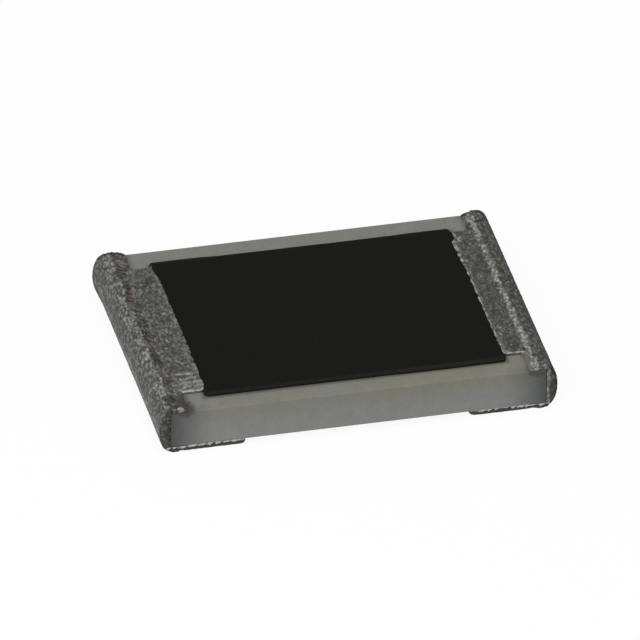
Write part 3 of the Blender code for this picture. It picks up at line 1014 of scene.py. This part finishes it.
# %% Grain and swell in the mesh
GRAINS_PER_MM, GRAIN_DEPTH, GRAIN_EVERYWHERE = 30, 0.005, 0.5
LUMPS_PER_MM, LUMP_DEPTH, LUMP_EVERYWHERE = 9, 0.004, 0.3
DEEPEST_DENT = 0.005
CAP_RAMP = (-0.03, 0.06)


def roughen(vert, side, seed, swell):
    """Push one point in or out by grain and lumps, and by the swell of its end."""
    bead = bead_share(vert.co)
    grain = GRAIN_DEPTH * (GRAIN_EVERYWHERE + bead) * wander(vert.co, GRAINS_PER_MM, seed)
    lump = LUMP_DEPTH * (LUMP_EVERYWHERE + bead) * wander(vert.co, LUMPS_PER_MM, seed + 5)
    outward, upward = swell(vert.co)
    past_chip = smooth_step(abs(vert.co.x), CHIP_END + CAP_RAMP[0], CHIP_END + CAP_RAMP[1])
    vert.co += vert.normal * max(grain + lump, -DEEPEST_DENT)
    vert.co.x += side * outward * past_chip
    vert.co.z = max(vert.co.z + upward, tin_low.z)
    vert.co.y = min(max(vert.co.y, -tin_high.y), tin_high.y)


print(f"no dent is deeper than {DEEPEST_DENT * 1000:.0f} micrometres")

# %% Creep in the mesh
ROLL_ENDS = (1.3, 1.36)
ROLL_WIDTH = 0.016
ROLL_WAVES_PER_MM, ROLL_WAVE = 14, 0.4


def roll_up(vert, side, seed, creep):
    """Stop one point of the strip at the wavy edge of its creep, and roll it up there."""
    reach, roll = creep(vert.co.y)
    stop = print_end(side) + LAYER_GAP + edge_wave(side, vert.co.y) - reach
    beyond = side * vert.co.x - stop
    if beyond < 0:
        vert.co.x = side * stop
    if vert.co.z > contact_high.z:
        near = math.exp(-(max(beyond - reach, 0) / ROLL_WIDTH) ** 2)
        rolled = 1 - smooth_step(abs(vert.co.y), *ROLL_ENDS)
        wave = 1 + ROLL_WAVE * wander(vert.co, ROLL_WAVES_PER_MM, seed + 9)
        vert.co.z += roll * rolled * near * wave


def plate(body, side, seed, swell, creep):
    """Give the whole mesh the face of plated tin."""
    bm = bmesh.new()
    bm.from_mesh(body.data)
    bmesh.ops.smooth_vert(bm, verts=bm.verts, factor=0.5, use_axis_x=True, use_axis_y=True, use_axis_z=True)
    bm.normal_update()
    for vert in bm.verts:
        roughen(vert, side, seed, swell)
        if vert.co.z > CHIP_TOP:
            roll_up(vert, side, seed, creep)
    bm.to_mesh(body.data)
    bm.free()


print(f"the strips roll up over {ROLL_WIDTH * 1000:.0f} micrometres at their edge")

# %% Room inside the tin
OVERRUN = 0.1


def hollow(body, side, cover_room):
    """Cut the room for the chip, the plated paste, the strip, the pad and the overcoat."""
    chip_room = block(
        (-CHIP_END - LAYER_GAP, CHIP_END + LAYER_GAP),
        (-CHIP_SIDE - OVERRUN, CHIP_SIDE + OVERRUN),
        (CHIP_BOTTOM - LAYER_GAP, CHIP_TOP + LAYER_GAP),
    )
    inside = (
        chip_room, dipped_end(side, GROW_UNDER_TIN),
        contact_strip(side, GROW_UNDER_TIN, CHIP_END / 2), pad_form(side, GROW_UNDER_TIN),
    )
    tools = [mesh_object("room", form) for form in inside]
    for tool in (*tools, cover_room):
        cut = body.modifiers.new("room", "BOOLEAN")
        cut.object = tool
        cut.solver = "MANIFOLD"
    applied(body)
    for tool in tools:
        bpy.data.objects.remove(tool)


tin_bodies = {}
cover_room = mesh_object("cover room", overcoat_form(LAYER_GAP))
for word, side, seed, swell, creep in (
    ("left", -1, 3.0, left_swell, left_creep),
    ("right", 1, 11.0, right_swell, right_creep),
):
    body = tin_body(word, side)
    plate(body, side, seed, swell, creep)
    hollow(body, side, cover_room)
    tin_bodies[word] = body
    print(f"{body.name}: {len(body.data.vertices)} points")
bpy.data.objects.remove(cover_room)

# %% [markdown]
# The zones of the tin
#
# Plated tin is a matt grey metal, but it isn't the same grey all over: the strip by the print,
# the bead, its foot, the slope down the end and the flat front side each have a tone of their
# own. The tones of the foot and the slope are painted light and shade: light from the upper left
# lights the left end's slope and the right bead's inner foot, and leaves the right end's slope
# and the left bead's inner foot in painted shade. Separate materials would leave hard seams
# between them. So each tone is laid on with a band over the last one, and grain is added to the
# place first, which makes the limits ragged.

# %% Zones of the tin
TIN_ROUGHNESS, TIN_METAL = 0.45, 0.6
DARK_OUTLINE = (0.25, 0.25, 0.25, 1)
STRIP_END_HIGHLIGHT = (0.24, 0.238, 0.225)
BEAD_FOOT = CHIP_END - 0.13


def on_top(tin):
    """1 above the chip's top face."""
    return tin.band(tin.z, soft=0.02, start=CHIP_TOP)


def on_front(tin):
    """1 on the front side of a dipped end."""
    return tin.band(tin.y, soft=0.004, end=-CHIP_SIDE + 0.006)


def tin_zones(word, side, strip, bead, slope_shading, rim, foot, foot_at, face, face_line):
    """Tin on one end, from the colours of its zones. Its slope and foot colours are painted light and
    shade.
    """
    tin = Finish(f"tin {word}", strip, TIN_ROUGHNESS, TIN_METAL)
    fill_sockets(tin.tree, tin.shader, {"Specular Tint": DARK_OUTLINE})
    out, above, on_side = tin.outward(side), on_top(tin), on_front(tin)
    ragged = tin.wavy(out, 0.04, per_mm=18)
    tin.tint(bead, tin.band(ragged, soft=0.04, start=foot_at + 0.035))
    # Painted light and shade on the slope down the end, which faces the light on the left end and turns
    # from it on the right.
    tin.tint(slope_shading, tin.band(out, soft=0.07, start=CHIP_END + 0.06))
    tin.tint(rim, tin.band(ragged, soft=0.03, start=0, end=print_end(side) + 0.03), above)
    # Painted shade along the left bead's inner foot, a painted highlight along the right one's.
    tin.tint(foot, tin.band(ragged, soft=0.025, start=foot_at, end=foot_at + 0.04), above)
    past_strip = tin.band(tin.y, soft=0.006, end=-contact_high.y - 0.008)
    on_strip = tin.band(out, soft=0.02, start=0, end=CHIP_END - WRAP_CORNER[side])
    # Painted highlight on the front end of the strip, whose edge faces the light.
    tin.tint(STRIP_END_HIGHLIGHT, past_strip, on_strip, above)
    tin.tint(face, on_side, tin.band(out, soft=0.005, start=CHIP_END - 0.02))
    wavy = tin.wavy(out, 0.02, per_mm=22)
    line = tin.band(wavy, soft=0.012, start=CHIP_END - 0.02, end=CHIP_END + 0.042)
    tin.tint(face_line, on_side, line)
    return tin


print(f"the bead's foot lies {CHIP_END - BEAD_FOOT:.2f} mm inside the chip's end")

# %% [markdown]
# Crystals, specks and pad edges
#
# Where grains of tin stand up they catch the light as specks. Below the chip, each pad's edge
# has a painted highlight, a bright serrated band, above painted shade in a dark band. And a matt
# metal face that turns away is painted darker at its outline, after a painted brighter stretch.
# All of it is finer than the mesh, so it is colour: cells, clouds, a sine along the edge, and the
# angle to the eye, which Layer Weight gives.

# %% Crystals and specks
CRYSTALS_PER_MM = 31
CRYSTAL_SHINE = 1.3
MEAN_CRYSTAL = 0.4
SPECK = (0.3, 0.3, 0.275)


def add_crystals(tin, side, contrast):
    """Crystals and clouds over everything, more contrast on the bead, and specks on top."""
    out, above = tin.outward(side), on_top(tin)
    on_bead = tin.all_of(tin.band(out, soft=0.04, start=BEAD_FOOT, end=CHIP_END + 0.09), above)
    crystals = tin.crystals(CRYSTALS_PER_MM)
    tin.shade_by(crystals, 1 - contrast, 1 + CRYSTAL_SHINE * contrast)
    from_mean = tin.all_of(tin.math("SUBTRACT", crystals, MEAN_CRYSTAL), on_bead)
    tin.shade_by(tin.math("ADD", from_mean, MEAN_CRYSTAL), 0.84, 1.26)
    tin.shade_by(tin.grain(34), 0.78, 1.24)
    tin.shade_by(tin.grain(8), 0.86, 1.14)
    on_chip = tin.band(out, soft=0.05, start=0, end=CHIP_END + 0.03)
    tin.tint(SPECK, tin.grain(30, 0.64, 0.74), above, on_chip)


print(f"tin crystals are about {1000 / CRYSTALS_PER_MM:.0f} micrometres wide")

# %% Pad edges and outline
PAD_HIGHLIGHT = (0.46, 0.465, 0.45)
PAD_SHADE = (0.05, 0.05, 0.047)
TEETH_PER_MM, TEETH_SLANT, TEETH_HEIGHT, TEETH_SHIFT = 66, 55, 0.007, 5.0
BRIGHT_FROM = {-1: 0.066, 1: 0.074}
TOOTH_GAP = {-1: -1.6, 1: -2.4}
FULL_TOOTH = 0.4


def add_pad_edge(tin, side):
    """A painted highlight in a serrated band above painted shade, on both long sides of the pad."""
    below = tin.all_of(
        tin.band(tin.z, soft=0.004, start=0.02, end=CHIP_BOTTOM - 0.002),
        tin.band(tin.outward(side), soft=0.03, start=0, end=CHIP_END + 0.03),
        tin.band(tin.math("ABSOLUTE", tin.y), soft=0.01, start=CHIP_SIDE - 0.035),
    )
    # Painted shade on the pad's side where it turns under the chip.
    tin.tint(PAD_SHADE, below)
    teeth = tin.wavy(tin.math("MULTIPLY", tin.x, TEETH_PER_MM), TEETH_SHIFT, 7, 0.35, 0.65)
    teeth = tin.math("SINE", tin.math("SUBTRACT", teeth, tin.math("MULTIPLY", tin.z, TEETH_SLANT)))
    serrated = tin.wavy(tin.z, 0.02, per_mm=15, low=0.38, high=0.62)
    serrated = tin.math("ADD", serrated, tin.math("MULTIPLY", teeth, TEETH_HEIGHT))
    bright = tin.band(serrated, soft=0.008, start=BRIGHT_FROM[side])
    dashes = tin.math("MAXIMUM", tin.ramp(teeth, TOOTH_GAP[side], FULL_TOOTH), tin.grain(24, 0.4))
    # Painted highlight in a serrated band along the pad's side.
    tin.tint(PAD_HIGHLIGHT, below, bright, dashes)


def add_outline(tin, side, outline):
    """Painted light where a face begins to turn away, painted shade at its outline and along the back rim.
    """
    turned = tin.facing_away()
    # Painted light where a face begins to turn away from the eye, in two steps.
    tin.shade_where(1.2, tin.band(turned, soft=0.06, start=0.6, end=0.7))
    tin.shade_where(1.16, tin.band(turned, soft=0.05, start=0.74, end=0.79))
    at_back = tin.band(tin.y, soft=0.15, start=1.35) if side < 0 else 1.0
    # Painted shade at the outline, on the left end only towards the back.
    tin.shade_where(outline, tin.band(turned, soft=0.12, start=0.8), at_back)
    # Painted shade along the back rim of the top.
    shaded_back_rim = tin.band(tin.y, soft=0.03, start=tin_high.y - 0.035)
    tin.shade_where(0.4, shaded_back_rim, on_top(tin))
    tin.bump(tin.grain(60), 0.003)


print(f"pad edges turn bright {min(BRIGHT_FROM.values())} mm up")

# %% [markdown]
# The left end's own marks
#
# The left end is a little brighter. Flux has left faint brown stains along its bead's foot, and
# its strip is scratched in fine bright lines. Such marks could be painted, but an oval spot with
# a ragged rim needs only a place and a size. Stains lie under the crystals, scratches on them.

# %% Left tin, from its zones to its outline
STAIN = (0.048, 0.042, 0.033)
BRIGHT_STRIP_PATCH = (0.13, 0.13, 0.12)
BEHIND_FRONT = -1.585
LEFT_STAINS = (
    ((-2.045, 0.86, 0.56), (0.05, 0.16, 1)), ((-2.06, 0.66, 0.56), (0.06, 0.15, 1)),
    ((-2.06, -0.06, 0.56), (0.05, 0.14, 1)), ((-2.05, -0.5, 0.56), (0.06, 0.2, 1)),
    ((-2.085, -1.46, 0.55), (0.09, 0.22, 1)),
)

# Here the slope colour is painted light and the foot colour painted shade.
tin = tin_zones(
    "left", -1, strip=(0.091, 0.09, 0.083), bead=(0.136, 0.136, 0.125), slope_shading=(0.13, 0.13, 0.122),
    rim=(0.118, 0.117, 0.108), foot=(0.068, 0.065, 0.058), foot_at=BEAD_FOOT + 0.057,
    face=(0.07, 0.071, 0.063), face_line=(0.056, 0.057, 0.052),
)
# A brighter patch near the front end of the left strip.
tin.tint(BRIGHT_STRIP_PATCH, tin.spot((-1.79, -1.13, 0.56), (0.22, 0.2, 1)))
painted_end_face = tin.all_of(
    tin.band(tin.x, soft=0.02, end=-CHIP_END - 0.02), tin.band(tin.y, soft=0.004, start=BEHIND_FRONT),
)
# Painted shade high on the left end face, and painted light low down on it.
tin.shade_where(0.88, painted_end_face, tin.band(tin.z, soft=0.08, start=0.36, end=0.48))
tin.shade_where(1.4, painted_end_face, tin.band(tin.z, soft=0.1, start=0, end=0.26))
for centre, size in LEFT_STAINS:
    tin.tint(STAIN, tin.spot(centre, size))
add_crystals(tin, -1, contrast=0.5)
add_pad_edge(tin, -1)
add_outline(tin, -1, outline=0.45)
print(tin.material.name, "has", len(LEFT_STAINS), "stains")

# %% Left tin, scratches and specks
SCRATCHES_PER_MM, SCRATCH_SHIFT = 75, 4
LEFT_SCRATCHES = (((-1.79, -0.91, 0.56), (0.16, 0.035, 0.1)), ((-1.81, -1.08, 0.56), (0.1, 0.025, 0.1)))
LEFT_SPECKS = (((-2.13, -1.53, 0.56), (0.06, 0.035, 0.1)), ((-2.02, -1.585, 0.56), (0.05, 0.035, 0.1)))


def add_speck_spots(tin, spots):
    """Spots that are filled with bright specks."""
    for centre, size in spots:
        tin.tint(SPECK, tin.spot(centre, size), tin.grain(22, 0.44, 0.58))


# A brown flux smudge at the bead's foot, painted darker as shadow too.
tin.tint(FLUX_AND_SHADOW, tin.spot((-1.955, -1.49, 0.53), (0.12, 0.24, 0.12)))
lines = tin.wavy(tin.math("MULTIPLY", tin.y, SCRATCHES_PER_MM), SCRATCH_SHIFT, 6, 0.35, 0.65)
lines = tin.band(tin.math("SINE", lines), soft=0.5, start=0.4)
scratches = tin.all_of(tin.spot((-1.76, -1.17, 0.56), (0.22, 0.28, 0.1)), lines)
for centre, size in LEFT_SCRATCHES:
    scratches = tin.math("MAXIMUM", scratches, tin.spot(centre, size))
tin.tint(SPECK, scratches, tin.grain(20, 0.35, 0.6))
add_speck_spots(tin, LEFT_SPECKS)
finish_piece(tin_bodies["left"], "tin_plating_left", tin.done())

# %% [markdown]
# The right end's own marks
#
# On the right the foot of the bead is a ragged bright line of painted light, the tin glitters by
# the print, and the flat side of the cap is painted darker round its rim, as shade where the cap
# rounds away. That rim could be a face of its own. But it follows the section of the dipped end,
# so a mask with the section's own formula is enough.

# %% Right tin, from its zones to its strip
RIM_SPECK = (0.34, 0.34, 0.32)
SMOOTH_FOOT = (0.14, 0.139, 0.127)
GLITTER_END = cover_high.x - 0.012

# Here the slope colour is painted shade and the foot colour a painted highlight.
tin = tin_zones(
    "right", 1, strip=(0.078, 0.077, 0.071), bead=(0.074, 0.074, 0.067), slope_shading=(0.056, 0.056, 0.053),
    rim=(0.11, 0.11, 0.102), foot=(0.19, 0.19, 0.178), foot_at=BEAD_FOOT + 0.012,
    face=(0.055, 0.056, 0.05), face_line=(0.15, 0.152, 0.142),
)
add_crystals(tin, 1, contrast=0.42)
add_pad_edge(tin, 1)
add_outline(tin, 1, outline=0.35)
above = on_top(tin)
inside_bead = tin.band(tin.x, soft=0.025, start=0, end=CHIP_END - 0.17)
tin.tint(SMOOTH_FOOT, inside_bead, tin.band(tin.y, soft=0.015, end=-contact_high.y - 0.03), above)
by_print = tin.band(tin.x, soft=0.014, start=0, end=GLITTER_END)
tin.tint(RIM_SPECK, by_print, tin.grain(16, 0.42, 0.56), above)
print(f"{tin.material.name} glitters up to {GLITTER_END:.3f} mm from the middle and fades past it")

# %% Right tin, cap and specks
RIGHT_SPECKS = (
    ((2.01, -1.5, 0.56), (0.06, 0.035, 0.1)), ((2.1, -1.58, 0.56), (0.045, 0.02, 0.1)),
    ((1.735, -1.12, 0.56), (0.03, 0.16, 0.1)), ((1.765, -1.2, 0.56), (0.035, 0.05, 0.1)),
    ((1.742, 1.165, 0.56), (0.035, 0.07, 0.1)), ((1.79, 1.07, 0.56), (0.04, 0.06, 0.1)),
)

across = tin.ramp(tin.x, CHIP_END - WRAP_MIDDLE + BEAD_RUN, tin_high.x)
from_middle = tin.math("ABSOLUTE", tin.math("SUBTRACT", tin.z, MIDDLE_HEIGHT))
upright = tin.ramp(from_middle, 0, MIDDLE_HEIGHT)
round_the_cap = tin.math(
    "ADD", tin.math("POWER", across, LOWER_BULGE_POWER), tin.math("POWER", upright, LOWER_BULGE_POWER),
)
# Painted shade round the rim of the cap's flat side, where the cap rounds away.
cap_side = tin.all_of(on_front(tin), tin.band(tin.x, soft=0.005, start=CHIP_END))
tin.shade_where(0.35, cap_side, tin.band(round_the_cap, soft=0.16, start=0.86))
add_speck_spots(tin, RIGHT_SPECKS)
finish_piece(tin_bodies["right"], "tin_plating_right", tin.done())

# %% [markdown]
# The layers inside
#
# Nothing of the printed contacts, the film, the glass, the dipped silver and the nickel shows
# on a whole chip, but each is there and has its own finish for when the chip is taken apart.
# They differ only in a few numbers, so one loop over a table makes them all.

# %% Finishes of the inner layers
BOTH_ENDS = ("left", "right")
INNER = (
    ("printed silver", (0.55, 0.54, 0.52), 0.45, 1.0, 50, (
        *(f"top_electrode_{end}" for end in BOTH_ENDS), *(f"bottom_electrode_{end}" for end in BOTH_ENDS),
    )),
    ("dipped silver", (0.48, 0.47, 0.45), 0.55, 1.0, 35, [f"side_electrode_{end}" for end in BOTH_ENDS]),
    ("resistive film", (0.03, 0.032, 0.035), 0.5, 0.0, 60, ["resistive_element"]),
    ("glass coat", (0.08, 0.14, 0.1), 0.2, 0.0, 15, ["glass_coat"]),
    ("nickel", (0.42, 0.4, 0.36), 0.4, 1.0, 70, [f"nickel_barrier_{end}" for end in BOTH_ENDS]),
)
for name, colour, roughness, metallic, per_mm, nodes in INNER:
    inner = Finish(name, colour, roughness, metallic)
    inner.shade_by(inner.grain(per_mm, 0.25, 0.75), 0.85, 1.15)
    inner.bump(inner.grain(per_mm, 0.25, 0.75), 0.002)
    material = inner.done()
    for node in nodes:
        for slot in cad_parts[node].material_slots:
            slot.material = material
    print(name, "on", ", ".join(nodes))

# %% [markdown]
# Sizes before and after
#
# New pieces may grow a little past the layers that they stand for, and it is easy to miss by
# how much. So the box of the whole chip is measured again and written beside the first one.

# %% Sizes before and after
new_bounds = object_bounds()
for label, corners in (("solids", cad_bounds), ("new pieces", new_bounds)):
    print(label, "reach from", *(tuple(corner) for corner in corners), "m")
